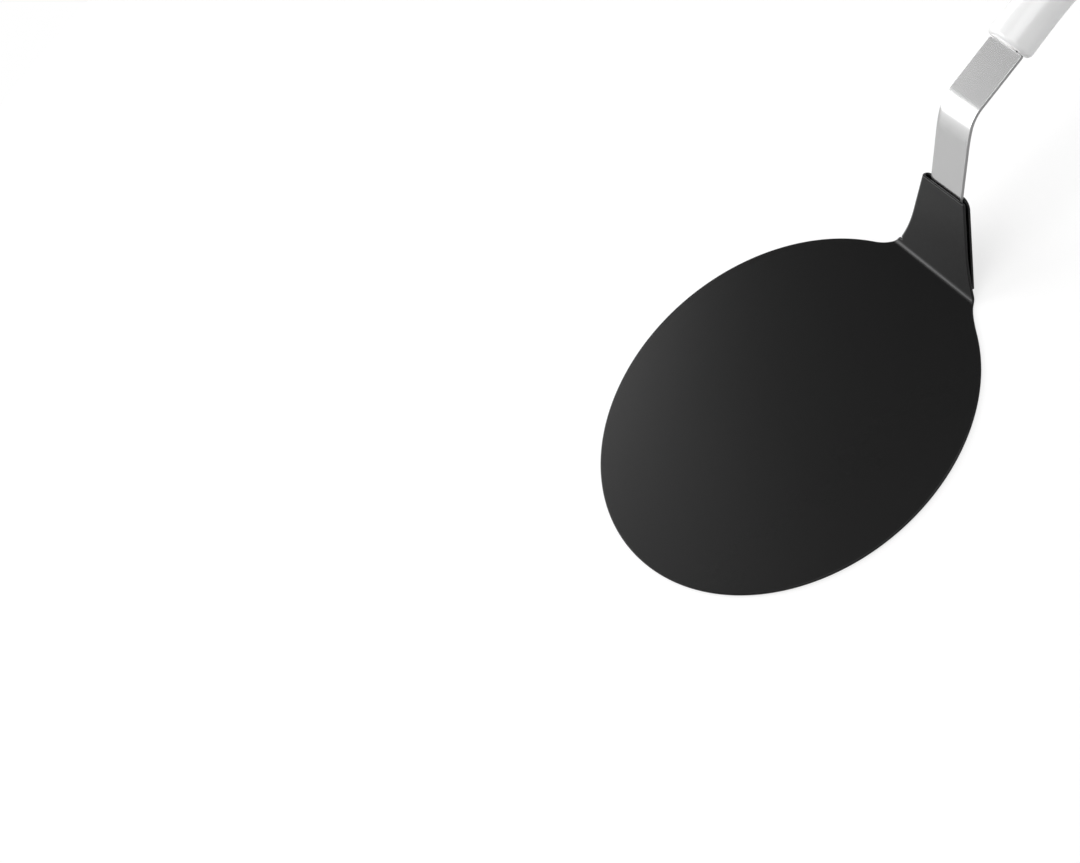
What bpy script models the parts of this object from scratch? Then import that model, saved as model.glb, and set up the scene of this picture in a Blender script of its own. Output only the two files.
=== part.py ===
"""Round turner: a thin coated sheet blade, a cranked steel shank and an oval moulded handle.

Metres, +Z up. The origin is the centre of the round blade on its flat underside, and +X runs
from the tip of the blade to the handle. The blade is one sheet that is cut flat, hemmed round
its left edge at the neck and creased up. The shank is a flat strip held between the hem's layers
by two rivets, and its narrow tang runs into the handle.
"""

import bpy
import bmesh
from collections import namedtuple
from math import asin, atan, copysign, cos, pi, radians, sin, sqrt, tan
from mathutils import Vector
from mathutils.geometry import interpolate_bezier

# Blade sheet
blade_radius = 0.0800
sheet_thickness = 0.0011
rim_rounding = 0.0003
disc_segments = 140

# Crease between the disc and the neck
crease_setback = 0.0005
crease_radius = 0.0025
neck_rise = radians(58.4)
crease_steps = 8

# Neck: a tapering plate that flares into the disc, with more room on its hemmed left side
neck_length = 0.0355
left_margin = 0.0045
left_taper = radians(11.0)
left_flare_radius = 0.0410
left_blend_spread = 0.0074
left_blend_share = 0.36
right_margin = 0.0034
right_taper = radians(14.5)
right_flare_radius = 0.0490
right_blend_spread = 0.0122
right_blend_share = 0.24
flare_length = 0.0180
blend_steps = 9
side_steps = 12

# Hem that wraps the neck round the back of the shank
hem_steps = 10
relief_width = 0.0006
flap_inset = 0.0011
flap_foot_margin = 0.0001
flap_corner_radius = 0.0045
flap_corner_steps = 6

# Shank strip
strip_width = 0.0184
strip_thickness = 0.0013
strip_edge_rounding = 0.00025
strip_foot = 0.0065
strip_foot_radius = 0.0040
bend_distance = 0.0320
bend_radius = 0.0165
bend_steps = 14
grip_rise = radians(14.9)
grip_run = 0.0279
corner_steps = 5

# Tang inside the handle
shoulder_width = 0.0037
shoulder_radius = 0.0009
tang_end_radius = 0.0020
notch_radius = 0.0012
notch_place_shares = (0.30, 0.52, 0.74)
notch_steps = 6

# Rivets through the shank and the back of the hem
rivet_shank_radius = 0.0016
rivet_sunk_radius = 0.0026
rivet_sunk_depth = 0.0010
rivet_dome_radius = 0.0033
rivet_dome_height = 0.0013
rivet_place_shares = (0.24, 0.72)
rivet_steps = 36
dome_steps = 6

# Handle: an oval section that swells to the belly and narrows to the tail
grip_length = 0.1260
front_width = 0.0210
front_thickness = 0.0138
waist_width = 0.0204
waist_thickness = 0.0134
belly_width = 0.0248
belly_thickness = 0.0166
tail_width = 0.0206
tail_thickness = 0.0124
grip_station_shares = (0.0, 0.12, 0.56, 1.0)
grip_sag = 0.0045
section_squareness = 2.15
front_rounding = 0.0020
seam_rounding = 0.0005
section_points = 44
grip_steps = 22
rounding_steps = 4

# Handle hollow, end cap and hanging slot
nose_wall = 0.0070
hollow_length = 0.0185
wall_thickness = 0.0024
cap_length = 0.0280
plug_depth = 0.0110
tail_dome_length = 0.0120
dome_rings = 9
slot_width = 0.0066
slot_length = 0.0130
slot_tail_margin = 0.0068
slot_steps = 12

# Angles past which an edge is shaded sharp or rounded
sharp_angle = radians(35)
rounded_angle = radians(50)

# Clearances
seat_gap = 0.00025
shoulder_gap = 0.0003
overrun = 0.0020
merge_distance = 0.00001

NeckSide = namedtuple("NeckSide", "margin taper flare_radius blend_spread blend_share")

# Worked out from the sizes above
hem_radius = sheet_thickness / 2 + seat_gap + strip_thickness / 2
crease_roll = crease_radius + sheet_thickness / 2
crease_reach = crease_roll * tan(neck_rise / 2)
crease_distance = blade_radius - crease_setback
crease_arc = crease_roll * neck_rise
crease_start = crease_distance - crease_reach
hem_foot = crease_reach + relief_width * 2
flap_foot = crease_reach + flap_foot_margin
turn = neck_rise - grip_rise
bend_roll = bend_radius + strip_thickness / 2
bend_reach = bend_roll * tan(turn / 2)
bend_arc = bend_roll * turn
bend_apex = neck_length + bend_distance
left_side = NeckSide(left_margin, left_taper, left_flare_radius, left_blend_spread,
                     left_blend_share)
right_side = NeckSide(right_margin, right_taper, right_flare_radius, right_blend_spread,
                      right_blend_share)
tang_half = strip_width / 2 - shoulder_width
shoulder_place = bend_apex + bend_arc - bend_reach * 2 + grip_run
rivet_seat = strip_thickness + seat_gap + sheet_thickness + seat_gap
rivet_span = neck_length - strip_foot
seam_distance = grip_length - cap_length
nose_length = seam_distance - plug_depth - hollow_length
tang_end = nose_length - nose_wall
tang_length = tang_end + shoulder_gap


def clear_objects():
    for old in list(bpy.data.objects):
        bpy.data.objects.remove(old, do_unlink=True)


def make_collection(name):
    collection = bpy.data.collections.new(name)
    bpy.context.scene.collection.children.link(collection)
    return collection


def make_material(name, color, roughness, metallic=0.0):
    material = bpy.data.materials.new(name)
    material.use_nodes = True
    shader = material.node_tree.nodes["Principled BSDF"]
    shader.inputs["Base Color"].default_value = (*color, 1.0)
    shader.inputs["Roughness"].default_value = roughness
    shader.inputs["Metallic"].default_value = metallic
    return material


def make_object(name, mesh, collection, parent=None):
    made = bpy.data.objects.new(name, mesh)
    collection.objects.link(made)
    made.parent = parent
    return made


def make_frame(name, collection, place, tilt, parent=None):
    """An empty that carries pieces: its X runs along them, and tilt turns it up from X."""
    frame = make_object(name, None, collection, parent)
    frame.location = place
    frame.rotation_euler = (0, -tilt, 0)
    return frame


def finish_mesh(bm, name):
    bmesh.ops.recalc_face_normals(bm, faces=bm.faces[:])
    mesh = bpy.data.meshes.new(name)
    bm.to_mesh(mesh)
    bm.free()
    mesh.shade_smooth()
    mesh.set_sharp_from_angle(angle=sharp_angle)
    return mesh


def hide_cutter(cutter):
    cutter.hide_render = True
    cutter.display_type = "WIRE"


def cut(target, cutter):
    modifier = target.modifiers.new("Cut " + cutter.name, "BOOLEAN")
    modifier.operation = "DIFFERENCE"
    modifier.solver = "EXACT"
    modifier.object = cutter


def thicken(target, thickness, rounding):
    """Gives a mid-surface its sheet thickness and rounds the edges of the sheet."""
    solid = target.modifiers.new("Thickness", "SOLIDIFY")
    solid.thickness = thickness
    solid.offset = 0
    solid.use_even_offset = True
    edge = target.modifiers.new("Edge rounding", "BEVEL")
    edge.width = rounding
    edge.segments = 2
    edge.limit_method = "ANGLE"
    edge.angle_limit = rounded_angle
    edge.use_clamp_overlap = False


def arc_points(centre, radius, start, end, steps):
    """Points on an arc about centre, both ends included."""
    angles = [start + (end - start) * step / steps for step in range(steps + 1)]
    return [centre + Vector((cos(angle), sin(angle))) * radius for angle in angles]


def flipped(points):
    """The same run of points on the other side of the centre line."""
    return [Vector((point.x, -point.y)) for point in points]


def flat_face(bm, points):
    return bm.faces.new([bm.verts.new((point.x, point.y, 0)) for point in points])


def score(bm, start, arc, steps):
    """Cuts the lines across a flat sheet along which it will be rolled."""
    for step in range(steps + 1):
        everything = bm.verts[:] + bm.edges[:] + bm.faces[:]
        place = (start + arc * step / steps, 0, 0)
        bmesh.ops.bisect_plane(bm, geom=everything, plane_co=place, plane_no=(1, 0, 0))


def roll(bm, start, radius, angle, side):
    """Rolls what lies beyond start round a cylinder: side is 1 for upwards, -1 for downwards."""
    arc = radius * angle
    for vert in bm.verts:
        beyond = vert.co.x - start
        if beyond <= 0:
            continue
        turned = angle * min(beyond / arc, 1)
        straight = max(beyond - arc, 0)
        height = radius - side * vert.co.z
        vert.co.x = start + height * sin(turned) + straight * cos(turned)
        vert.co.z = side * (radius - height * cos(turned) + straight * sin(turned))


def neck_reach(up, side):
    """The neck's reach from the centre line to one side: a straight taper with a flared foot."""
    flare = max(flare_length - up, 0) ** 2 / (side.flare_radius * 2)
    return strip_width / 2 + side.margin + (neck_length - up) * tan(side.taper) + flare


def neck_point(up, across):
    """A point of the neck in the flat sheet, before the crease is rolled."""
    return Vector((crease_distance + crease_arc - crease_reach * 2 + up, across))


def neck_edge(low, high, side, inset):
    """Points up one side of the neck, set in from its outline and drawn on the left."""
    heights = [low + (high - low) * step / side_steps for step in range(side_steps + 1)]
    return [neck_point(up, neck_reach(up, side) - inset) for up in heights]


def disc_blend_angle(side):
    """How far round the rim, from the centre line, the disc starts to blend into the neck."""
    return asin((neck_reach(0, side) + side.blend_spread) / blade_radius)


def disc_blend(side):
    """The curve from one foot of the neck round into the rim of the disc, drawn on the left."""
    angle = disc_blend_angle(side)
    root = neck_point(0, neck_reach(0, side))
    rim = Vector((cos(angle), sin(angle))) * blade_radius
    slope = atan(tan(side.taper) + flare_length / side.flare_radius)
    reach = (root - rim).length * side.blend_share
    root_handle = root + Vector((-cos(slope), sin(slope))) * reach
    rim_handle = rim + Vector((sin(angle), -cos(angle))) * reach
    return interpolate_bezier(root, root_handle, rim_handle, rim, blend_steps)


def blade_outline():
    """The flat sheet without its hem, anticlockwise from the neck's top left corner."""
    hem_line = neck_edge(hem_foot, neck_length, left_side, hem_radius + sheet_thickness / 2)
    notch_foot = hem_foot - relief_width
    notch = [neck_point(notch_foot, hem_line[0].y),
             neck_point(notch_foot, neck_reach(notch_foot, left_side))]
    rim = arc_points(Vector((0, 0)), blade_radius, disc_blend_angle(left_side),
                     pi * 2 - disc_blend_angle(right_side), disc_segments)
    right_blend = flipped(disc_blend(right_side))
    right_edge = flipped(neck_edge(0, neck_length, right_side, 0))
    left_run = hem_line[::-1] + notch + disc_blend(left_side)
    return left_run + rim[1:-1] + right_blend[::-1] + right_edge[1:]


def along(vert):
    return vert.co.x


def add_hem(bm):
    """Folds the neck's left edge back through half a turn and returns the folded edge."""
    low = neck_point(hem_foot, 0).x - merge_distance
    chain = [edge for edge in bm.edges if edge.is_boundary
             and all(vert.co.x > low and vert.co.y > 0 for vert in edge.verts)]
    line = sorted({vert for edge in chain for vert in edge.verts}, key=along)
    for step in range(1, hem_steps + 1):
        made = bmesh.ops.extrude_edge_only(bm, edges=chain)["geom"]
        layer = sorted((item for item in made if isinstance(item, bmesh.types.BMVert)), key=along)
        chain = [item for item in made if isinstance(item, bmesh.types.BMEdge)
                 and all(vert in layer for vert in item.verts)]
        turned = pi * step / hem_steps
        shift = Vector((0, sin(turned), cos(turned) - 1)) * hem_radius
        for vert, start in zip(layer, line):
            vert.co = start.co + shift
    return layer


def add_flap(bm, folded_edge):
    """The back layer of the hem, from the folded edge across to its free right edge."""
    top_half = strip_width / 2 + right_margin - flap_inset
    foot_half = top_half + (neck_length - flap_foot) * tan(right_taper)
    across = flap_corner_radius * (1 / cos(right_taper) - tan(right_taper)) - top_half
    corner = arc_points(neck_point(neck_length - flap_corner_radius, across),
                        flap_corner_radius, 0, right_taper - pi / 2, flap_corner_steps)
    foot = [neck_point(flap_foot, -foot_half), neck_point(flap_foot, folded_edge[0].co.y)]
    depth = folded_edge[0].co.z
    free_edge = [bm.verts.new((point.x, point.y, depth)) for point in corner + foot]
    bm.faces.new(folded_edge + free_edge)


def make_blade(collection, material):
    bm = bmesh.new()
    flat_face(bm, blade_outline())
    score(bm, crease_start, crease_arc, crease_steps)
    add_flap(bm, add_hem(bm))
    roll(bm, crease_start, crease_roll, neck_rise, 1)
    bmesh.ops.translate(bm, verts=bm.verts[:], vec=(0, 0, sheet_thickness / 2))
    blade = make_object("blade", finish_mesh(bm, "blade"), collection)
    blade.data.materials.append(material)
    thicken(blade, sheet_thickness, rim_rounding)
    return blade


def shank_outline():
    """The flat strip, anticlockwise from its foot: a wide run, two shoulders and a notched tang."""
    half = strip_width / 2
    right = arc_points(Vector((strip_foot + strip_foot_radius, strip_foot_radius - half)),
                       strip_foot_radius, -pi, -pi / 2, corner_steps)
    right += arc_points(Vector((shoulder_place - shoulder_radius, shoulder_radius - half)),
                        shoulder_radius, -pi / 2, 0, corner_steps)
    right.append(Vector((shoulder_place, -tang_half)))
    for share in notch_place_shares:
        right += arc_points(Vector((shoulder_place + tang_length * share, -tang_half)),
                            notch_radius, pi, 0, notch_steps)
    end = shoulder_place + tang_length - tang_end_radius
    right += arc_points(Vector((end, tang_end_radius - tang_half)), tang_end_radius, -pi / 2, 0,
                        corner_steps)
    return right + flipped(right)[::-1]


def make_shank(collection, neck_frame, material):
    bm = bmesh.new()
    flat_face(bm, shank_outline())
    start = bend_apex - bend_reach
    score(bm, start, bend_arc, bend_steps)
    roll(bm, start, bend_roll, turn, -1)
    shank = make_object("shank", finish_mesh(bm, "shank"), collection, neck_frame)
    shank.location.z = -hem_radius
    shank.data.materials.append(material)
    thicken(shank, strip_thickness, strip_edge_rounding)
    return shank


def turned_piece(name, mesh, share, collection, neck_frame):
    """Turns a profile mesh about an axis square to the shank, at a share of its held length."""
    turned = make_object(name, mesh, collection, neck_frame)
    turned.location = (strip_foot + rivet_span * share, 0, strip_thickness / 2 - hem_radius)
    screw = turned.modifiers.new("Turn", "SCREW")
    screw.steps = rivet_steps
    screw.render_steps = rivet_steps
    screw.use_merge_vertices = True
    screw.merge_threshold = merge_distance
    return turned


def profile_mesh(name, profile):
    """An open run of radius and height, down the outside of a turned piece from its top."""
    mesh = bpy.data.meshes.new(name)
    edges = [(index, index + 1) for index in range(len(profile) - 1)]
    mesh.from_pydata([(radius, 0, height) for radius, height in profile], edges, [])
    return mesh


def rivet_mesh(material):
    """A head sunk flush in the shank's front, and a domed head behind the hem."""
    dome = [(rivet_dome_radius * cos(pi / 2 * step / dome_steps),
             -rivet_seat - rivet_dome_height * sin(pi / 2 * step / dome_steps))
            for step in range(dome_steps)]
    profile = [(0, 0), (rivet_sunk_radius, 0), (rivet_shank_radius, -rivet_sunk_depth),
               (rivet_shank_radius, -rivet_seat), *dome, (0, -rivet_seat - rivet_dome_height)]
    mesh = profile_mesh("neck_rivet", profile)
    mesh.materials.append(material)
    return mesh


def rivet_hole_mesh():
    """The hole for one rivet, which stops short of the neck's front layer."""
    lip = seat_gap / 2
    sunk = rivet_sunk_radius + seat_gap
    shank = rivet_shank_radius + seat_gap
    foot = -rivet_seat - overrun
    return profile_mesh("rivet_hole", [(0, lip), (sunk, lip), (sunk, 0),
                                       (shank, -rivet_sunk_depth), (shank, foot), (0, foot)])


def fit_rivets(collection, cutters, neck_frame, held, material):
    """Two rivets through the shank and the back of the hem, with a hole in each held piece."""
    rivet = rivet_mesh(material)
    hole = rivet_hole_mesh()
    for number, share in enumerate(rivet_place_shares, start=1):
        turned_piece(f"neck_rivet_{number}", rivet, share, collection, neck_frame)
        cutter = turned_piece(f"rivet_hole_{number}", hole, share, cutters, neck_frame)
        hide_cutter(cutter)
        for piece in held:
            cut(piece, cutter)


def eased(values, share):
    """A smooth run through values at the handle's stations."""
    stations = list(zip(grip_station_shares, values))
    for (start, first), (end, last) in zip(stations, stations[1:]):
        if share <= end:
            break
    blend = min((share - start) / (end - start), 1)
    return first + (last - first) * blend * blend * (3 - blend * 2)


def grip_axis(place):
    """Height of the handle's centre line, which sags towards its tail."""
    share = place / grip_length
    waist_share = grip_station_shares[1]
    return -grip_sag * (max(share - waist_share, 0) / (1 - waist_share)) ** 2


def grip_ring(place, inset=0):
    """One section of the handle: its place, half width, half thickness and centre height."""
    share = place / grip_length
    width = eased((front_width, waist_width, belly_width, tail_width), share)
    thickness = eased((front_thickness, waist_thickness, belly_thickness, tail_thickness), share)
    into_dome = max(place - grip_length + tail_dome_length, 0) / tail_dome_length
    closing = sqrt(1 - min(into_dome, 1) ** 2)
    return (place, width / 2 * closing - inset, thickness / 2 * closing - inset, grip_axis(place))


def rounded_end(place, radius, inward):
    """Rings round an end's edge, from the end face to the full section."""
    angles = [pi / 2 * step / rounding_steps for step in range(rounding_steps + 1)]
    return [grip_ring(place + inward * radius * (1 - cos(angle)), radius * (1 - sin(angle)))
            for angle in angles]


def rings_between(start, end, steps, inset=0):
    return [grip_ring(start + (end - start) * step / steps, inset) for step in range(steps + 1)]


def section_point(index, half_width, half_thickness):
    angle = pi * 2 * index / section_points
    power = 2 / section_squareness
    across = copysign(abs(cos(angle)) ** power, cos(angle)) * half_width
    high = copysign(abs(sin(angle)) ** power, sin(angle)) * half_thickness
    return across, high


def loft(name, rings, collection, parent):
    """A closed solid through oval sections of different widths and thicknesses."""
    bm = bmesh.new()
    loops = []
    for place, half_width, half_thickness, middle in rings:
        spots = [section_point(index, half_width, half_thickness) for index in range(section_points)]
        loops.append([bm.verts.new((place, across, middle + high)) for across, high in spots])
    bm.faces.new(loops[0])
    bm.faces.new(loops[-1])
    for first, second in zip(loops, loops[1:]):
        for index in range(section_points):
            after = (index + 1) % section_points
            bm.faces.new((first[index], first[after], second[after], second[index]))
    return make_object(name, finish_mesh(bm, name), collection, parent)


def make_grip_body(collection, cutters, grip_frame, material):
    """The moulded body: a solid nose with a pocket for the tang and a hollow open at the tail."""
    rings = rounded_end(0, front_rounding, 1)
    rings += rings_between(front_rounding, seam_distance - seam_rounding, grip_steps)[1:-1]
    rings += rounded_end(seam_distance, seam_rounding, -1)[::-1]
    body = loft("handle_body", rings, collection, grip_frame)
    body.data.materials.append(material)

    hollow_rings = rings_between(nose_length, seam_distance + overrun, dome_rings, wall_thickness)
    hollow = loft("handle_hollow", hollow_rings, cutters, grip_frame)
    hide_cutter(hollow)
    cut(body, hollow)

    bm = bmesh.new()
    bmesh.ops.create_cube(bm, size=1)
    pocket_end = tang_end + seat_gap
    size = Vector((pocket_end + overrun, (tang_half + seat_gap) * 2,
                   strip_thickness + seat_gap * 2))
    bmesh.ops.scale(bm, verts=bm.verts[:], vec=size)
    pocket = make_object("tang_pocket", finish_mesh(bm, "tang_pocket"), cutters, grip_frame)
    pocket.location.x = (pocket_end - overrun) / 2
    hide_cutter(pocket)
    cut(body, pocket)
    return body


def make_end_cap(collection, cutters, grip_frame, material):
    """The tail of the handle: a plug that fits the hollow, a dome and a slot to hang it by."""
    lip = seam_distance + seat_gap
    dome_start = grip_length - tail_dome_length
    fit = wall_thickness + seat_gap
    rings = rings_between(lip - plug_depth, lip, 2, fit)
    rings += rounded_end(lip, seam_rounding, 1)
    rings += rings_between(lip + seam_rounding, dome_start, dome_rings)[1:]
    for step in range(1, dome_rings):
        rings.append(grip_ring(dome_start + tail_dome_length * sin(pi / 2 * step / dome_rings)))
    cap = loft("handle_end_cap", rings, collection, grip_frame)
    cap.data.materials.append(material)

    end_radius = slot_width / 2
    spread = slot_length / 2 - end_radius
    outline = arc_points(Vector((spread, 0)), end_radius, -pi / 2, pi / 2, slot_steps)
    outline += arc_points(Vector((-spread, 0)), end_radius, pi / 2, pi * 3 / 2, slot_steps)
    bm = bmesh.new()
    flat_face(bm, outline)
    slot = make_object("hanging_slot", finish_mesh(bm, "hanging_slot"), cutters, grip_frame)
    slot_place = grip_length - slot_tail_margin - slot_length / 2
    slot.location = (slot_place, 0, grip_axis(slot_place))
    depth = slot.modifiers.new("Depth", "SOLIDIFY")
    depth.thickness = belly_thickness + overrun * 2
    depth.offset = 0
    hide_cutter(slot)
    cut(cap, slot)
    return cap


def main():
    clear_objects()
    collection = make_collection("round_turner")
    cutters = make_collection("cutters")
    coating = make_material("Black coating", (0.020, 0.020, 0.021), 0.42)
    steel = make_material("Satin steel", (0.62, 0.62, 0.63), 0.24, 1.0)
    moulding = make_material("White moulding", (0.86, 0.86, 0.87), 0.30)

    neck_frame = make_frame("neck_frame", collection, (crease_distance, 0, sheet_thickness / 2),
                            neck_rise)
    reach = grip_run + shoulder_gap
    grip_place = (bend_apex + reach * cos(turn), 0, -hem_radius - reach * sin(turn))
    grip_frame = make_frame("grip_frame", collection, grip_place, -turn, neck_frame)

    blade = make_blade(collection, coating)
    shank = make_shank(collection, neck_frame, steel)
    fit_rivets(collection, cutters, neck_frame, (blade, shank), steel)
    make_grip_body(collection, cutters, grip_frame, moulding)
    make_end_cap(collection, cutters, grip_frame, moulding)


main()
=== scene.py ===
"""Looks of the round turner: coated sheet blade, cranked steel shank, white moulded handle.

Metres, +Z up, +X from the blade's tip to the handle. Every piece is modelled flat or straight, as
its maker does, then folded, bent or turned to its place. The sizes are those of the CAD part, but
for rounder edges and an easier start of the strip's bend.
"""

from collections import namedtuple
from math import asin, atan, cos, pi, radians, sin, sqrt, tan

import bmesh
import bpy
from mathutils import Matrix, Vector
from mathutils.geometry import interpolate_bezier

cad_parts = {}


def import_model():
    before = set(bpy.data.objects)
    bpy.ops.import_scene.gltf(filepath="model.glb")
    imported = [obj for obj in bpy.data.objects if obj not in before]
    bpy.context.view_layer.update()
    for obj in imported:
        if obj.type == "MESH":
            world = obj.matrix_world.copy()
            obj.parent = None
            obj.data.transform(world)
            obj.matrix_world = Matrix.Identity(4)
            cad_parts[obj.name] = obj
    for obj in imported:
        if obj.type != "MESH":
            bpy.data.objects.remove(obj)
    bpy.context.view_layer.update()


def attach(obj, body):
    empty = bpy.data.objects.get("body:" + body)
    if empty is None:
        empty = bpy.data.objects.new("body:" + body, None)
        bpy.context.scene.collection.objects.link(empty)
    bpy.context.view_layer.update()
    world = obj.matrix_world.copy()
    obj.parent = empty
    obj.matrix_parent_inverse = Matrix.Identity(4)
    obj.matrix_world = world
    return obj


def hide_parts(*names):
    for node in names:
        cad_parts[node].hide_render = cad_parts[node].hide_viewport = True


# Blade sheet
blade_radius = 0.0800
sheet_thickness = 0.0011
rim_rounding = 0.0004
rim_rounding_steps = 5
rim_steps = 320

# Crease between the disc and the neck
crease_setback = 0.0005
crease_radius = 0.0025
neck_rise = radians(58.4)
crease_steps = 18

# Neck and hem
neck_length = 0.0355
left_margin = 0.0045
left_taper = radians(11.0)
left_flare_radius = 0.0410
left_blend_spread = 0.0074
left_blend_share = 0.36
right_margin = 0.0034
right_taper = radians(14.5)
right_flare_radius = 0.0490
right_blend_spread = 0.0122
right_blend_share = 0.24
flare_length = 0.0180
blend_steps = 20
side_steps = 26
hem_steps = 18
relief_width = 0.0006
flap_inset = 0.0011
flap_foot_margin = 0.0001
flap_corner_radius = 0.0045

# Shank strip and tang
strip_width = 0.0184
strip_thickness = 0.0013
strip_edge_rounding = 0.00025
strip_edge_steps = 4
strip_edge_roll = 0.0020
strip_edge_drop = 0.00020
strip_foot = 0.0065
strip_foot_radius = 0.0040
bend_distance = 0.0320
bend_radius = 0.01335
bend_steps = 30
bend_ease = radians(7)
bend_ease_radius = 0.0594
bend_ease_steps = 12
grip_rise = radians(14.9)
grip_run = 0.0279
shoulder_width = 0.0037
shoulder_radius = 0.0009
tang_end_radius = 0.0020
notch_radius = 0.0012
notch_place_shares = (0.30, 0.52, 0.74)
corner_steps = 8

# Rivets
rivet_shank_radius = 0.0016
rivet_sunk_radius = 0.0026
rivet_sunk_depth = 0.0010
rivet_dome_radius = 0.0033
rivet_dome_height = 0.0013
rivet_place_shares = (0.24, 0.72)
rivet_steps = 64
dome_steps = 12

# Handle body, end cap and hanging slot
grip_length = 0.1260
grip_widths = (0.0210, 0.0204, 0.0248, 0.0206)
grip_thicknesses = (0.0138, 0.0134, 0.0166, 0.0124)
grip_station_shares = (0.0, 0.12, 0.56, 1.0)
grip_sag = 0.0045
section_fullness = 0.5985
section_steps = 20
front_rounding = 0.0020
seam_rounding = 0.0005
body_rings = 44
nose_wall = 0.0070
hollow_length = 0.0185
wall_thickness = 0.0024
cap_length = 0.0280
plug_depth = 0.0110
tail_dome_length = 0.0120
cap_rings = 12
dome_rings = 16
slot_width = 0.0066
slot_length = 0.0130
slot_tail_margin = 0.0068
slot_steps = 48
slot_rim_rounding = 0.0007
rounding_steps = 6

# Clearances and small distances
seat_gap = 0.00025
shoulder_gap = 0.0003
overrun = 0.0020
hair = 0.00001

# Edges that are rounded or kept sharp, and the pull of flat faces on the shading
cut_edge_angle = radians(50)
slot_rim_angle = radians(40)
smooth_angle = radians(35)
flat_face_weight = 100

# Patterns of the finishes
pattern_low = 0.3
pattern_high = 0.7
fine_detail = 2

# Black coating
coating_shade = 0.0085
coating_dark_shade = 0.0083
coating_light_shade = 0.0087
# Painted shade: the coating's cut edges are painted this much darker than its faces
coating_edge_painted_shade = 0.0040
coating_ior = 1.34
coating_roughness = 0.22
coating_edge_roughness = 0.62
coating_patch_scale = 60
coating_grain_scale = 2600
coating_grain_depth = 0.000004
sheet_edge_facing = (0.35, 0.85)
neck_edge_share = 0.45

# Satin steel
steel_shade = 0.58
steel_dark_shade = 0.57
steel_light_shade = 0.59
# Painted shade: faces turned sideways, across the strip, are painted this much darker
steel_side_painted_shade = 0.34
steel_roughness = 0.16
steel_side_roughness = 0.36
steel_side_facing = (0.35, 0.80)
steel_line_scale = 90
steel_line_detail = 4
steel_line_stretch = (1, 40, 1)
steel_line_depth = 0.0000008

# White moulding
moulding_shade = 0.80
moulding_dark_shade = 0.79
moulding_light_shade = 0.81
moulding_roughness = 0.21
moulding_low_roughness = 0.19
moulding_high_roughness = 0.22
moulding_patch_scale = 45
moulding_skin_scale = 700
moulding_skin_depth = 0.000006

# Camera, fitted to the photograph
camera_place = (-0.0244631501, -0.41308757498, 0.47496087654)
camera_right = Vector((0.7396, -0.4213, -0.5249))
camera_up = Vector((0.6681, 0.5535, 0.4972))
camera_sensor = 36
camera_focal_pixels = 1600
camera_width_pixels = 1080
camera_near = 0.01

# White wall, dark ceiling and white table
wall_top = radians(8)
ceiling_foot = radians(26)
wall_glow = 0.97
ceiling_glow = 0.06
table_radius = 0.75
table_steps = 96
table_drop = 0.0002
table_roughness = 0.9
table_shade = 0.77
table_seen_shade = 0.30
table_seen_glow = 0.72

# Lamps: a fade is dark below its first share of the lamp's height and full above its second
Lamp = namedtuple("Lamp", "name place target size radiance fade")
lamps = (
    Lamp("side_panel", (-0.70, 1.88, 0.85), (0.12, 0.03, 0.85), (1.93, 1.85), 5.9, (0.02, 0.90)),
    Lamp("side_board", (-1.49, 1.75, 1.90), (0, 0, 1.90), (3.80, 3.60), 0.68, (0, 0.20)),
    Lamp("overhead_box", (0, 0.07, 1.06), (0, 0.07, 0), (0.95, 0.66), 3.2, None),
    Lamp("front_fill", (0.75, -1.05, 1.10), (0.10, 0, 0.05), (1.00, 0.80), 1.8, None))

# Sockets of the Mix node that share their names with others
mix_value, mix_first_value, mix_last_value = 0, 2, 3
mix_colour, mix_first_colour, mix_last_colour = 2, 6, 7

NeckSide = namedtuple("NeckSide", "way margin taper flare_radius blend_spread blend_share")

# Worked out from the sizes above
hem_radius = sheet_thickness / 2 + seat_gap + strip_thickness / 2
hem_inset = hem_radius + sheet_thickness / 2
crease_roll = crease_radius + sheet_thickness / 2
crease_reach = crease_roll * tan(neck_rise / 2)
crease_distance = blade_radius - crease_setback
crease_arc = crease_roll * neck_rise
crease_start = crease_distance - crease_reach
hem_foot = crease_reach + relief_width * 2
flap_foot = crease_reach + flap_foot_margin
turn = neck_rise - grip_rise
tight_turn = turn - bend_ease
ease_roll = bend_ease_radius + strip_thickness / 2
bend_roll = bend_radius + strip_thickness / 2
ease_arc = ease_roll * bend_ease
bend_arc = bend_roll * tight_turn
ease_tangent = ease_roll * tan(bend_ease / 2)
bend_tangent = bend_roll * tan(tight_turn / 2)
low_reach = ease_tangent + (ease_tangent + bend_tangent) * sin(tight_turn) / sin(turn)
high_reach = bend_tangent + (ease_tangent + bend_tangent) * sin(bend_ease) / sin(turn)
bend_apex = neck_length + bend_distance
bend_start = bend_apex - low_reach
left_side = NeckSide(1, left_margin, left_taper, left_flare_radius, left_blend_spread,
                     left_blend_share)
right_side = NeckSide(-1, right_margin, right_taper, right_flare_radius, right_blend_spread,
                      right_blend_share)
tang_half = strip_width / 2 - shoulder_width
shoulder_place = bend_start + ease_arc + bend_arc + grip_run - high_reach
rivet_seat = strip_thickness + seat_gap + sheet_thickness + seat_gap
rivet_span = neck_length - strip_foot
seam_distance = grip_length - cap_length
nose_length = seam_distance - plug_depth - hollow_length
tang_end = nose_length - nose_wall
tang_length = tang_end + shoulder_gap
slot_place = grip_length - slot_tail_margin - slot_length / 2
neck_place = Vector((crease_distance, 0, sheet_thickness / 2))
grip_reach = grip_run + shoulder_gap
grip_place = neck_place + Matrix.Rotation(-neck_rise, 3, "Y") @ Vector(
    (bend_apex + grip_reach * cos(turn), 0, -hem_radius - grip_reach * sin(turn)))


# Modelling by hand, in code

def deselect_all():
    if bpy.context.mode != "OBJECT":
        bpy.ops.object.mode_set(mode="OBJECT")
    bpy.ops.object.select_all(action="DESELECT")


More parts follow.
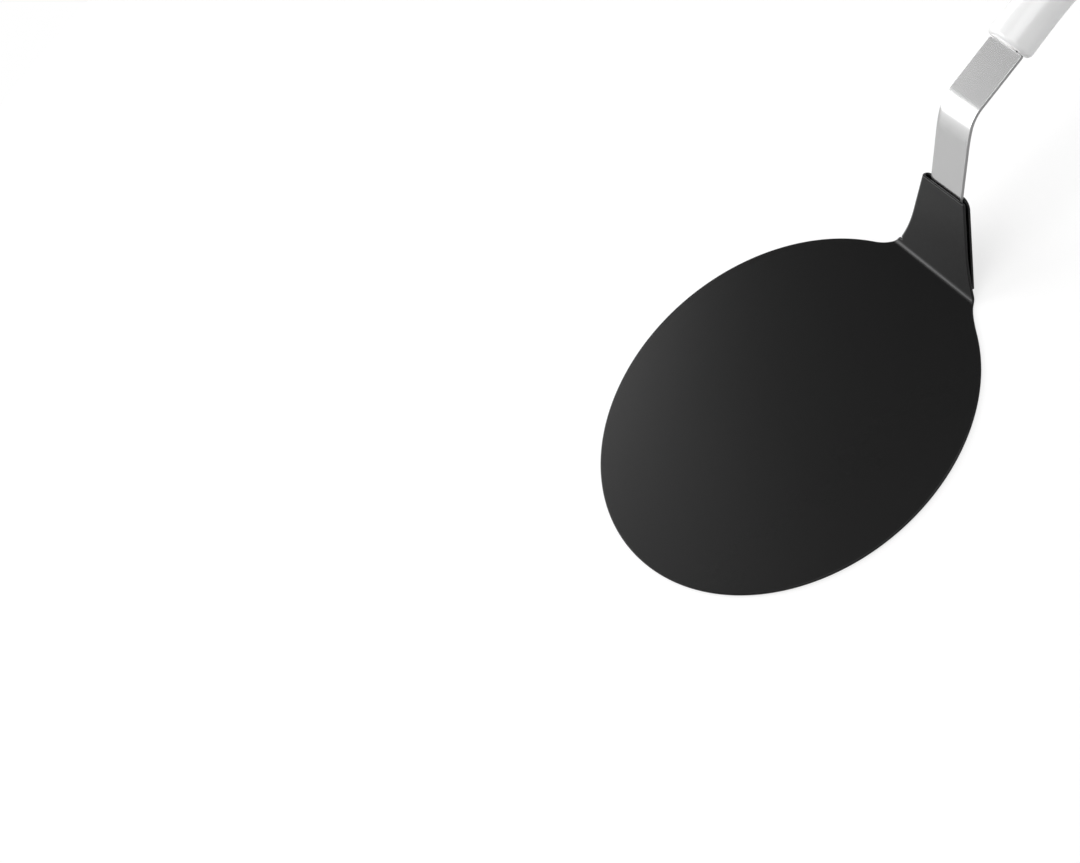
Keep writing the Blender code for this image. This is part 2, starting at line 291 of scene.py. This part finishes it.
def take_up(piece):
    """Selects one piece alone, as the active one."""
    deselect_all()
    bpy.context.view_layer.objects.active = piece
    piece.select_set(True)


def edit(piece):
    """Opens one piece in edit mode, with all else left alone."""
    take_up(piece)
    bpy.ops.object.mode_set(mode="EDIT")


def added(name):
    """Names the object that an operator has just added."""
    piece = bpy.context.object
    piece.name = name
    piece.data.name = name
    return piece


def pick(kind, passes):
    """Selects the vertices, edges or faces of the piece in hand whose every corner passes."""
    bpy.ops.mesh.select_mode(type=kind)
    bpy.ops.mesh.select_all(action="DESELECT")
    mesh = bpy.context.edit_object.data
    shape = bmesh.from_edit_mesh(mesh)
    items = {"VERT": shape.verts, "EDGE": shape.edges, "FACE": shape.faces}[kind]
    for item in items:
        corners = [item] if kind == "VERT" else item.verts
        if all(passes(corner.co) for corner in corners):
            item.select_set(True)
    shape.select_flush_mode()
    bmesh.update_edit_mesh(mesh)


def spaced(start, end, steps):
    """Evenly spaced values, both ends included."""
    return [start + (end - start) * step / steps for step in range(steps + 1)]


def pick_at(*points):
    """Selects the vertices that lie at these points."""
    pick("VERT", lambda place: any((place - point).length < hair * 2 for point in points))


def single_point(name, place):
    """A piece that is one vertex so far, ready to be drawn on from."""
    deselect_all()
    bpy.ops.mesh.primitive_plane_add(size=hair, location=place)
    piece = added(name)
    apply_place(piece)
    edit(piece)
    bpy.ops.mesh.select_all(action="SELECT")
    bpy.ops.mesh.merge(type="CENTER")
    return piece


def draw_on(start, points):
    """Extrudes the vertex at start from point to point."""
    pick_at(start)
    for point in points:
        bpy.ops.mesh.extrude_vertices_move(TRANSFORM_OT_translate={"value": point - start})
        start = point


def close_and_fill():
    bpy.ops.mesh.select_all(action="SELECT")
    bpy.ops.mesh.remove_doubles(threshold=hair)
    bpy.ops.mesh.edge_face_add()


def round_corners(points, radius):
    """Rounds the outline's corners at these points."""
    pick_at(*points)
    bpy.ops.mesh.bevel(affect="VERTICES", offset=radius, segments=corner_steps,
                       clamp_overlap=False)


def fold(start, arc, angle, steps):
    """Rolls all that lies beyond start upwards, line by line from the far end of the bend."""
    for step in range(steps, -1, -1):
        line = start + arc * step / steps
        bpy.ops.mesh.select_all(action="SELECT")
        bpy.ops.mesh.bisect(plane_co=(line, 0, 0), plane_no=(1, 0, 0))
        pick("VERT", lambda place: place.x > line + hair)
        share = 0.5 if step in (0, steps) else 1
        bpy.ops.transform.rotate(value=angle / steps * share, orient_axis="Y",
                                 center_override=(line, 0, 0))


def apply_place(piece):
    take_up(piece)
    bpy.ops.object.transform_apply(location=True, rotation=True, scale=True)


def put(piece, place, tilt):
    """Tilts a piece up from level, sets it in its place and fixes both in its mesh."""
    deselect_all()
    piece.rotation_euler = (0, -tilt, 0)
    piece.location = place
    apply_place(piece)


def add_modifier(piece, kind, **settings):
    modifier = piece.modifiers.new(kind.title(), kind)
    for name, value in settings.items():
        setattr(modifier, name, value)
    return modifier


def apply_modifiers(piece):
    take_up(piece)
    for modifier in list(piece.modifiers):
        bpy.ops.object.modifier_apply(modifier=modifier.name)


def thicken(piece, thickness, rounding, steps):
    """Gives a folded sheet its thickness and rounds its cut edges."""
    add_modifier(piece, "SOLIDIFY", thickness=thickness, offset=0, use_even_offset=True)
    add_modifier(piece, "BEVEL", width=rounding, segments=steps, limit_method="ANGLE",
                 angle_limit=cut_edge_angle, use_clamp_overlap=False)
    apply_modifiers(piece)


def cut(piece, cutter):
    """Cuts one piece with another, which is then thrown away."""
    add_modifier(piece, "BOOLEAN", operation="DIFFERENCE", solver="EXACT", object=cutter)
    apply_modifiers(piece)
    bpy.data.objects.remove(cutter)


def turn_outwards(piece):
    edit(piece)
    bpy.ops.mesh.select_all(action="SELECT")
    bpy.ops.mesh.remove_doubles(threshold=hair)
    bpy.ops.mesh.normals_make_consistent(inside=False)
    deselect_all()


def shade(piece):
    """Shades a piece smooth, with its flats kept flat and its true edges sharp."""
    take_up(piece)
    bpy.ops.object.shade_smooth_by_angle(angle=smooth_angle)
    add_modifier(piece, "WEIGHTED_NORMAL", keep_sharp=True, weight=flat_face_weight)
    apply_modifiers(piece)


# Blade

def neck_reach(up, side):
    """The neck's reach from the centre line to one side: a straight taper with a flared foot."""
    flare = max(flare_length - up, 0) ** 2 / (side.flare_radius * 2)
    return strip_width / 2 + side.margin + (neck_length - up) * tan(side.taper) + flare


def neck_point(up, across, depth=0.0):
    """A point of the neck in the flat sheet, before the crease is folded."""
    return Vector((crease_distance + crease_arc - crease_reach * 2 + up, across, depth))


def neck_edge(low, high, side, inset=0.0):
    heights = spaced(low, high, side_steps)
    return [neck_point(up, (neck_reach(up, side) - inset) * side.way) for up in heights]


def rim_point(angle):
    return Vector((cos(angle), sin(angle), 0)) * blade_radius


def blend_angle(side):
    """Where the rim turns into the neck, at a whole number of the rim's steps."""
    step = pi * 2 / rim_steps
    return round(asin((neck_reach(0, side) + side.blend_spread) / blade_radius) / step) * step


def disc_blend(side):
    """The curve from one foot of the neck round into the rim."""
    angle = blend_angle(side)
    root = neck_point(0, neck_reach(0, side))
    rim = rim_point(angle)
    slope = atan(tan(side.taper) + flare_length / side.flare_radius)
    reach = (root - rim).length * side.blend_share
    root_handle = root + Vector((-cos(slope), sin(slope), 0)) * reach
    rim_handle = rim + Vector((sin(angle), -cos(angle), 0)) * reach
    curve = interpolate_bezier(root, root_handle, rim_handle, rim, blend_steps)
    return [Vector((point.x, point.y * side.way, 0)) for point in curve]


def blade_blank():
    """The sheet as it is cut: the disc with the neck drawn on from its rim."""
    deselect_all()
    bpy.ops.mesh.primitive_circle_add(vertices=rim_steps, radius=blade_radius)
    blade = added("blade_sheet")
    edit(blade)
    top = rim_point(blend_angle(left_side)).y - hair
    bottom = hair - rim_point(blend_angle(right_side)).y
    pick("VERT", lambda place: place.x > 0 and bottom < place.y < top)
    bpy.ops.mesh.delete(type="VERT")
    hem_line = neck_edge(hem_foot, neck_length, left_side, hem_inset)
    notch_up = hem_foot - relief_width
    notch = [neck_point(notch_up, neck_reach(notch_up, left_side)),
             neck_point(notch_up, hem_line[0].y)]
    outline = disc_blend(left_side)[::-1][1:] + notch + hem_line
    outline += neck_edge(0, neck_length, right_side)[::-1] + disc_blend(right_side)[1:]
    draw_on(rim_point(blend_angle(left_side)), outline)
    close_and_fill()
    return blade


def fold_hem():
    """Folds the neck's left edge half a turn round the place of the shank."""
    foot = neck_point(hem_foot, 0).x - hair
    pick("EDGE", lambda place: place.x > foot and place.y > 0)
    angles = spaced(0, pi, hem_steps)
    for start, end in zip(angles, angles[1:]):
        shift = Vector((0, sin(end) - sin(start), cos(end) - cos(start))) * hem_radius
        bpy.ops.mesh.extrude_edges_move(TRANSFORM_OT_translate={"value": shift})


def add_flap():
    """The back layer of the hem, drawn from the fold across to its free right edge."""
    depth = -hem_radius * 2
    top_half = strip_width / 2 + right_margin - flap_inset
    foot_half = top_half + (neck_length - flap_foot) * tan(right_taper)
    top = neck_point(neck_length, neck_reach(neck_length, left_side) - hem_inset, depth)
    corner = neck_point(neck_length, -top_half, depth)
    fold_side = neck_reach(hem_foot, left_side) - hem_inset
    draw_on(top, [corner, neck_point(flap_foot, -foot_half, depth),
                  neck_point(flap_foot, fold_side, depth),
                  neck_point(hem_foot, fold_side, depth)])
    bpy.ops.mesh.select_all(action="SELECT")
    bpy.ops.mesh.remove_doubles(threshold=hair)
    pick("VERT", lambda place: place.z < depth + hair)
    bpy.ops.mesh.edge_face_add()
    round_corners([corner], flap_corner_radius * (1 / cos(right_taper) - tan(right_taper)))


def make_blade():
    blade = blade_blank()
    fold_hem()
    add_flap()
    fold(crease_start, crease_arc, neck_rise, crease_steps)
    put(blade, (0, 0, sheet_thickness / 2), 0)
    turn_outwards(blade)
    thicken(blade, sheet_thickness, rim_rounding, rim_rounding_steps)
    cut(blade, rivet_holes())
    shade(blade)
    return blade


# Shank

def notch_corners(share):
    """The four corners of a square notch in the tang's right side, the middle two inside."""
    place = shoulder_place + tang_length * share
    left, right = place - notch_radius, place + notch_radius
    outer, inner = -tang_half, notch_radius - tang_half
    return [Vector((left, outer, 0)), Vector((left, inner, 0)),
            Vector((right, inner, 0)), Vector((right, outer, 0))]


def make_shank():
    """Half the flat strip, drawn and mirrored. The strip is then bent and set in the hem."""
    half = strip_width / 2
    end = shoulder_place + tang_length
    foot = Vector((strip_foot, -half, 0))
    shoulder = Vector((shoulder_place, -half, 0))
    tang_root = Vector((shoulder_place, -tang_half, 0))
    tang_tip = Vector((end, -tang_half, 0))
    notches = [notch_corners(share) for share in notch_place_shares]
    start = Vector((strip_foot, 0, 0))
    shank = single_point("shank_strip", start)
    draw_on(start, [foot, shoulder, tang_root, *sum(notches, []), tang_tip, Vector((end, 0, 0))])
    round_corners([foot], strip_foot_radius)
    round_corners([shoulder], shoulder_radius)
    round_corners([tang_tip], tang_end_radius)
    round_corners([corner for notch in notches for corner in notch[1:3]], notch_radius - hair)
    add_modifier(shank, "MIRROR", use_axis=(False, True, False), merge_threshold=hair)
    apply_modifiers(shank)
    edit(shank)
    close_and_fill()
    fold(bend_start + ease_arc, bend_arc, -tight_turn, bend_steps)
    fold(bend_start, ease_arc, -bend_ease, bend_ease_steps)
    turn_outwards(shank)
    shank.location.z = -hem_radius
    apply_place(shank)
    put(shank, neck_place, neck_rise)
    thicken(shank, strip_thickness, strip_edge_rounding, strip_edge_steps)
    turn_outwards(shank)
    cut(shank, rivet_holes())
    shade(shank)
    return shank


# Rivets

def turned(name, profile, share):
    """Draws a profile of radius and height and spins it about an axis square to the shank."""
    points = [Vector((radius, 0, height)) for radius, height in profile]
    piece = single_point(name, points[0])
    draw_on(points[0], points[1:])
    bpy.ops.mesh.select_all(action="SELECT")
    bpy.ops.mesh.spin(steps=rivet_steps, angle=pi * 2, center=(0, 0, 0), axis=(0, 0, 1))
    turn_outwards(piece)
    piece.location = (strip_foot + rivet_span * share, 0, strip_thickness / 2 - hem_radius)
    apply_place(piece)
    put(piece, neck_place, neck_rise)
    return piece


def rivet_holes():
    """One cutter with both holes, which stops short of the neck's front layer."""
    lip = seat_gap / 2
    sunk = rivet_sunk_radius + seat_gap
    shank = rivet_shank_radius + seat_gap
    foot = -rivet_seat - overrun
    mouth = sunk + lip * (sunk - shank) / rivet_sunk_depth
    profile = [(0, lip), (mouth, lip), (shank, -rivet_sunk_depth), (shank, foot), (0, foot)]
    holes = [turned("rivet_hole", profile, share) for share in rivet_place_shares]
    deselect_all()
    for hole in holes:
        hole.select_set(True)
    bpy.context.view_layer.objects.active = holes[0]
    bpy.ops.object.join()
    return holes[0]


def make_rivet(name, share):
    dome = [(rivet_dome_radius * cos(pi / 2 * step / dome_steps),
             -rivet_seat - rivet_dome_height * sin(pi / 2 * step / dome_steps))
            for step in range(dome_steps)]
    rivet = turned(name, [(0, 0), (rivet_sunk_radius, 0), (rivet_shank_radius, -rivet_sunk_depth),
                          (rivet_shank_radius, -rivet_seat), *dome,
                          (0, -rivet_seat - rivet_dome_height)], share)
    shade(rivet)
    return rivet


# Handle

def eased(values, share):
    """A smooth run through values at the handle's stations."""
    stations = list(zip(grip_station_shares, values))
    for (start, first), (end, last) in zip(stations, stations[1:]):
        if share <= end:
            break
    blend = min((share - start) / (end - start), 1)
    return first + (last - first) * blend * blend * (3 - blend * 2)


def grip_centre(place):
    """The handle's centre line, which sags towards the tail."""
    waist_share = grip_station_shares[1]
    sag = (max(place / grip_length - waist_share, 0) / (1 - waist_share)) ** 2
    return Vector((place, 0, -grip_sag * sag))


def grip_size(place, inset=0.0):
    """Half the handle's width and thickness, closing over the domed tail."""
    share = place / grip_length
    into_dome = max(place - grip_length + tail_dome_length, 0) / tail_dome_length
    closing = sqrt(max(1 - into_dome ** 2, 0))
    return Vector((eased(grip_widths, share) / 2 * closing - inset,
                   eased(grip_thicknesses, share) / 2 * closing - inset))


def oval_ring(name, place):
    """A full oval across the handle, a little squarer than an ellipse."""
    deselect_all()
    bpy.ops.curve.primitive_bezier_circle_add(radius=1)
    ring = added(name)
    spline = ring.data.splines[0]
    spline.resolution_u = section_steps
    for point in spline.bezier_points:
        point.handle_left_type = "FREE"
        point.handle_right_type = "FREE"
    for point in spline.bezier_points:
        for handle in (point.handle_left, point.handle_right):
            handle.xyz = point.co + (handle - point.co).normalized() * section_fullness
    bpy.ops.object.convert(target="MESH")
    ring = bpy.context.object
    ring.rotation_euler = (pi / 2, 0, pi / 2)
    size = grip_size(place)
    ring.scale = (size.x, size.y, 1)
    ring.location = grip_centre(place)
    apply_place(ring)
    return ring


def pull_rings(places, insets):
    """Extrudes the picked ring along the handle, resized to the handle's section at each place."""
    stops = list(zip(places, insets))
    for (start, start_inset), (end, end_inset) in zip(stops, stops[1:]):
        before = grip_size(start, start_inset)
        after = grip_size(end, end_inset)
        centre = grip_centre(end)
        shift = centre - grip_centre(start)
        bpy.ops.mesh.extrude_edges_move(TRANSFORM_OT_translate={"value": shift})
        bpy.ops.transform.resize(value=(1, after.x / before.x, after.y / before.y),
                                 center_override=centre)


def pick_ring(place, kind="EDGE"):
    pick(kind, lambda point: abs(point.x - place) < hair)


def round_ring(place, radius):
    pick_ring(place)
    bpy.ops.mesh.bevel(affect="EDGES", offset=radius, segments=rounding_steps)


def make_handle_body():
    """A lofted oval, hollow at the tail, with a pocket in its nose for the tang."""
    body = oval_ring("handle_moulding", 0)
    edit(body)
    pick_ring(0)
    rings = [0] + spaced(front_rounding * 2, seam_distance - seam_rounding * 2, body_rings)
    rings += [seam_distance]
    pull_rings(rings, [0] * len(rings))
    for place in (0, seam_distance):
        pick_ring(place)
        bpy.ops.mesh.edge_face_add()
    pick_ring(seam_distance, "FACE")
    bpy.ops.mesh.delete(type="ONLY_FACE")
    pick_ring(seam_distance)
    hollow = [seam_distance] + spaced(seam_distance - hair * 3, nose_length, dome_rings)
    pull_rings(hollow, [0] + [wall_thickness] * (dome_rings + 1))
    pick_ring(nose_length)
    bpy.ops.mesh.edge_face_add()
    turn_outwards(body)
    edit(body)
    round_ring(0, front_rounding)
    round_ring(seam_distance, seam_rounding)
    cut(body, tang_pocket())
    put(body, grip_place, grip_rise)
    shade(body)
    return body


def tang_pocket():
    deselect_all()
    pocket_end = tang_end + seat_gap
    bpy.ops.mesh.primitive_cube_add(size=1, location=((pocket_end - overrun) / 2, 0, 0))
    pocket = added("tang_pocket")
    pocket.scale = (pocket_end + overrun, (tang_half + seat_gap) * 2,
                    strip_thickness + seat_gap * 2)
    apply_place(pocket)
    return pocket


def hanging_slot():
    """A cutter with the slot's rounded ends, drawn out from a cylinder."""
    deselect_all()
    radius = slot_width / 2
    bpy.ops.mesh.primitive_cylinder_add(vertices=slot_steps, radius=radius,
                                        depth=max(grip_thicknesses) + overrun * 2)
    slot = added("hanging_slot")
    edit(slot)
    spread = slot_length / 2 - radius
    for side in (1, -1):
        pick("VERT", lambda point: point.x * side > hair)
        bpy.ops.transform.translate(value=(spread * side, 0, 0))
    deselect_all()
    slot.location = grip_centre(slot_place)
    apply_place(slot)
    return slot


def round_slot_rim(cap):
    """Rounds the two edges where the slot breaks through the cap's surface."""
    edit(cap)
    bpy.ops.mesh.select_mode(type="EDGE")
    bpy.ops.mesh.select_all(action="DESELECT")
    bpy.ops.mesh.edges_select_sharp(sharpness=slot_rim_angle)
    shape = bmesh.from_edit_mesh(cap.data)
    for edge in shape.edges:
        near = [abs(corner.co.x - slot_place) < slot_length / 2 + hair
                and abs(corner.co.y) < slot_width / 2 + hair for corner in edge.verts]
        flat = abs(edge.verts[0].co.z - edge.verts[1].co.z) < slot_rim_rounding
        edge.select_set(edge.select and all(near) and flat)
    shape.select_flush_mode()
    bmesh.update_edit_mesh(cap.data)
    bpy.ops.mesh.bevel(affect="EDGES", offset=slot_rim_rounding, segments=rounding_steps,
                       clamp_overlap=False)
    turn_outwards(cap)


def make_end_cap():
    lip = seam_distance + seat_gap
    dome_start = grip_length - tail_dome_length
    cap = oval_ring("handle_tail_cap", lip)
    edit(cap)
    pick_ring(lip)
    rings = [lip, lip + seam_rounding * 2]
    rings += spaced(lip + seam_rounding * 4, dome_start, cap_rings)
    rings += [dome_start + tail_dome_length * sin(pi / 2 * step / dome_rings)
              for step in range(1, dome_rings)]
    pull_rings(rings, [0] * len(rings))
    bpy.ops.mesh.edge_face_add()
    pick_ring(lip)
    plug = [lip] + spaced(lip - hair * 3, lip - plug_depth, cap_rings)
    pull_rings(plug, [0] + [wall_thickness + seat_gap] * (cap_rings + 1))
    bpy.ops.mesh.edge_face_add()
    turn_outwards(cap)
    edit(cap)
    round_ring(lip, seam_rounding)
    cut(cap, hanging_slot())
    round_slot_rim(cap)
    put(cap, grip_place, grip_rise)
    shade(cap)
    return cap


# Nodes of the finishes, the lamps and the world

def grey(level):
    return (level, level, level, 1)


def feed(socket, value):
    """Links a socket to another one, or sets its own value."""
    if isinstance(value, bpy.types.NodeSocket):
        socket.id_data.links.new(value, socket)
    else:
        socket.default_value = value


def add_node(tree, kind, inputs, **settings):
    """Adds a node with its settings, then feeds the inputs that are named or numbered."""
    made = tree.nodes.new(kind)
    for name, value in settings.items():
        setattr(made, name, value)
    for name, value in inputs.items():
        feed(made.inputs[name], value)
    return made


def calculated(operation, first, *others):
    """The result of a sum on a socket, with other sockets or numbers."""
    inputs = dict(enumerate((first, *others)))
    made = add_node(first.id_data, "ShaderNodeMath", inputs, operation=operation)
    return made.outputs["Value"]


def along(vector, axis):
    """A vector's part along one axis."""
    made = add_node(vector.id_data, "ShaderNodeSeparateXYZ", {"Vector": vector})
    return made.outputs[axis]


def ranged(value, low, high, start=pattern_low, end=pattern_high, **settings):
    """Runs from low to high while a value runs from start to end, and holds beyond them."""
    inputs = {"Value": value, "From Min": start, "From Max": end, "To Min": low, "To Max": high}
    made = add_node(value.id_data, "ShaderNodeMapRange", inputs, **settings)
    return made.outputs["Result"]


def mixed(share, first, last):
    """A colour from first to last, by a 0 to 1 share."""
    inputs = {"Factor": share, mix_first_colour: first, mix_last_colour: last}
    made = add_node(share.id_data, "ShaderNodeMix", inputs, data_type="RGBA")
    return made.outputs[mix_colour]


# Finishes

class Finish:
    """A material being built up from nodes on the piece's own coordinates."""

    def __init__(self, name, shade, roughness, metallic=0.0):
        self.material = bpy.data.materials.new(name)
        self.material.use_nodes = True
        self.tree = self.material.node_tree
        self.shader = self.tree.nodes["Principled BSDF"]
        self.give_value("Base Color", grey(shade))
        self.give_value("Roughness", roughness)
        self.give_value("Metallic", metallic)
        where = self.tree.nodes.new("ShaderNodeTexCoord")
        self.place = where.outputs["Object"]
        self.normal = where.outputs["Normal"]

    def give_value(self, name, value):
        """Feeds one of the shader's sockets."""
        feed(self.shader.inputs[name], value)

    def give_to(self, *pieces):
        for piece in pieces:
            piece.data.materials.clear()
            piece.data.materials.append(self.material)

    def noise(self, scale, detail=3.0, stretch=(1, 1, 1)):
        """Noise from 0 to 1, stretched along the axes by the given amounts."""
        mapped = add_node(self.tree, "ShaderNodeMapping",
                          {"Vector": self.place, "Scale": stretch})
        grain = add_node(self.tree, "ShaderNodeTexNoise",
                         {"Vector": mapped.outputs["Vector"], "Scale": scale, "Detail": detail})
        return grain.outputs["Fac"]

    def facing(self, way):
        """How squarely the surface faces one way or the opposite way, from 0 to 1."""
        across = add_node(self.tree, "ShaderNodeVectorMath", {0: self.normal, 1: way},
                          operation="DOT_PRODUCT")
        return calculated("ABSOLUTE", across.outputs["Value"])

    def sheet_edge(self):
        """A share that is 0 on the faces and rises on the cut edges, less on the neck: duller
        there, with painted shade.
        """
        risen = ranged(along(self.place, "X"), 0, 1,
                       crease_start, crease_distance + crease_reach / 2)
        flat = ranged(self.facing((0, 0, 1)), 1, 0, *sheet_edge_facing)
        steep = ranged(self.facing((-sin(neck_rise), 0, cos(neck_rise))), neck_edge_share, 0,
                       *sheet_edge_facing)
        made = add_node(self.tree, "ShaderNodeMix",
                        {"Factor": risen, mix_first_value: flat, mix_last_value: steep})
        return made.outputs[mix_value]

    def rolled_side(self, half_width, roll, last, end):
        """A height that falls from 0 to -1 over the roll at the left side, up to last.

        From last to end it fades out.
        """
        into = ranged(along(self.place, "Y"), 0, 1, half_width - roll, half_width)
        kept = ranged(along(self.place, "X"), -1, 0, last, end)
        return calculated("MULTIPLY", calculated("POWER", into, 2), kept)

    def bump(self, height, distance):
        """Raises the surface by a height pattern, on top of any bump already given."""
        made = add_node(self.tree, "ShaderNodeBump", {"Height": height, "Distance": distance})
        socket = self.shader.inputs["Normal"]
        if socket.is_linked:
            feed(made.inputs["Normal"], socket.links[0].from_socket)
        feed(socket, made.outputs["Normal"])


def black_coating():
    """Sprayed non-stick coating: nearly black, satin, finely grained; its cut edges duller and
    painted darker as shade.
    """
    finish = Finish("black_coating", coating_shade, coating_roughness)
    finish.give_value("IOR", coating_ior)
    patches = finish.noise(coating_patch_scale)
    grain = finish.noise(coating_grain_scale, fine_detail)
    edge = finish.sheet_edge()
    body = mixed(ranged(patches, 0, 1), grey(coating_dark_shade), grey(coating_light_shade))
    # Painted shade: the cut edges get the darker colour, less on the neck
    finish.give_value("Base Color", mixed(edge, body, grey(coating_edge_painted_shade)))
    finish.give_value("Roughness",
                      ranged(edge, coating_roughness, coating_edge_roughness, 0, 1))
    finish.bump(grain, coating_grain_depth)
    return finish


def satin_steel():
    """Polished stainless strip with faint lines along its length; its sheared sides are duller and
    painted darker as shade.
    """
    finish = Finish("satin_steel", steel_shade, steel_roughness, 1.0)
    lines = finish.noise(steel_line_scale, steel_line_detail, steel_line_stretch)
    side = ranged(finish.facing((0, 1, 0)), 0, 1, *steel_side_facing)
    body = mixed(ranged(lines, 0, 1), grey(steel_dark_shade), grey(steel_light_shade))
    # Painted shade: faces turned sideways, such as the strip's sides, get the darker colour
    finish.give_value("Base Color", mixed(side, body, grey(steel_side_painted_shade)))
    finish.give_value("Roughness", ranged(side, steel_roughness, steel_side_roughness, 0, 1))
    bend_place = crease_distance + bend_apex * cos(neck_rise)
    roll = finish.rolled_side(strip_width / 2, strip_edge_roll, bend_place - strip_edge_roll / 2,
                              bend_place + strip_edge_roll * 2)
    finish.bump(roll, strip_edge_drop)
    finish.bump(lines, steel_line_depth)
    return finish


def white_moulding():
    """Smooth white plastic with the faint unevenness of a moulded skin."""
    finish = Finish("white_moulding", moulding_shade, moulding_roughness)
    patches = finish.noise(moulding_patch_scale)
    skin = finish.noise(moulding_skin_scale, fine_detail)
    finish.give_value("Base Color", mixed(ranged(patches, 0, 1), grey(moulding_dark_shade),
                                          grey(moulding_light_shade)))
    finish.give_value("Roughness",
                      ranged(patches, moulding_low_roughness, moulding_high_roughness))
    finish.bump(skin, moulding_skin_depth)
    return finish


# Studio

def make_camera():
    """Looks down on the turner from its tip's right, as the photograph does."""
    right = camera_right.normalized()
    up = (camera_up - right * camera_up.dot(right)).normalized()
    turned_axes = Matrix((right, up, right.cross(up))).transposed()
    data = bpy.data.cameras.new("camera")
    data.sensor_width = camera_sensor
    data.lens = camera_sensor * camera_focal_pixels / camera_width_pixels
    data.clip_start = camera_near
    camera = bpy.data.objects.new("camera", data)
    bpy.context.scene.collection.objects.link(camera)
    camera.matrix_world = Matrix.Translation(camera_place) @ turned_axes.to_4x4()
    bpy.context.scene.camera = camera


def softbox(lamp):
    """A rectangular lamp that shows in the metal but not to the camera."""
    data = bpy.data.lights.new(lamp.name, "AREA")
    data.shape = "RECTANGLE"
    data.size, data.size_y = lamp.size
    data.energy = lamp.radiance * pi * lamp.size[0] * lamp.size[1]
    made = bpy.data.objects.new(lamp.name, data)
    bpy.context.scene.collection.objects.link(made)
    aim = (Vector(lamp.target) - Vector(lamp.place)).to_track_quat("-Z", "Y")
    made.matrix_world = Matrix.Translation(lamp.place) @ aim.to_matrix().to_4x4()
    made.visible_camera = False
    return made


def fade_up(softbox_lamp, dark, full):
    """Dims a lamp to nothing below one share of its height, and lights it fully above another."""
    softbox_lamp.data.use_nodes = True
    tree = softbox_lamp.data.node_tree
    where = tree.nodes.new("ShaderNodeNewGeometry")
    height = along(where.outputs["Parametric"], "Y")
    strength = ranged(height, 0, 1, dark, full, interpolation_type="SMOOTHSTEP")
    feed(tree.nodes["Emission"].inputs["Strength"], strength)


def make_lights():
    for lamp in lamps:
        made = softbox(lamp)
        if lamp.fade:
            fade_up(made, *lamp.fade)


def make_world():
    """A white wall all round, up to a dark ceiling. The camera itself sees white all over."""
    world = bpy.data.worlds.new("studio")
    bpy.context.scene.world = world
    world.use_nodes = True
    tree = world.node_tree
    direction = tree.nodes.new("ShaderNodeTexCoord")
    wall = ranged(along(direction.outputs["Generated"], "Z"), wall_glow, ceiling_glow,
                  sin(wall_top), sin(ceiling_foot), interpolation_type="SMOOTHSTEP")
    rays = tree.nodes.new("ShaderNodeLightPath")
    background = tree.nodes["Background"]
    feed(background.inputs["Strength"],
         calculated("MAXIMUM", wall, rays.outputs["Is Camera Ray"]))
    feed(background.inputs["Color"], grey(1))


def make_floor():
    """A plain white table that shows near white, with the object's shadow kept."""
    deselect_all()
    bpy.ops.mesh.primitive_circle_add(vertices=table_steps, radius=table_radius,
                                      fill_type="NGON", location=(0, 0, -table_drop))
    floor = added("floor")
    material = bpy.data.materials.new("floor_white")
    material.use_nodes = True
    tree = material.node_tree
    seen = tree.nodes.new("ShaderNodeLightPath").outputs["Is Camera Ray"]
    shader = tree.nodes["Principled BSDF"]
    feed(shader.inputs["Roughness"], table_roughness)
    feed(shader.inputs["Specular IOR Level"], 0.0)
    feed(shader.inputs["Base Color"], mixed(seen, grey(table_shade), grey(table_seen_shade)))
    feed(shader.inputs["Emission Color"], grey(1))
    feed(shader.inputs["Emission Strength"], calculated("MULTIPLY", seen, table_seen_glow))
    floor.data.materials.append(material)


def main():
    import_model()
    make_camera()

    blade = make_blade()
    shank = make_shank()
    rivets = [make_rivet(f"hem_rivet_{number}", share)
              for number, share in enumerate(rivet_place_shares, start=1)]
    body = make_handle_body()
    cap = make_end_cap()

    coating = black_coating()
    coating.give_to(blade)
    steel = satin_steel()
    steel.give_to(shank, *rivets)
    moulding = white_moulding()
    moulding.give_to(body, cap)

    stand_ins = [(blade, "blade", "black_coating"), (shank, "shank", "satin_steel"),
                 (rivets[0], "neck_rivet_1", "satin_steel"),
                 (rivets[1], "neck_rivet_2", "satin_steel"),
                 (body, "handle_body", "white_moulding"),
                 (cap, "handle_end_cap", "white_moulding")]
    for piece, node, slot in stand_ins:
        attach(piece, "root")
        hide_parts(node)

    make_world()
    make_floor()
    make_lights()
    bpy.context.scene.view_settings.view_transform = "Standard"


main()
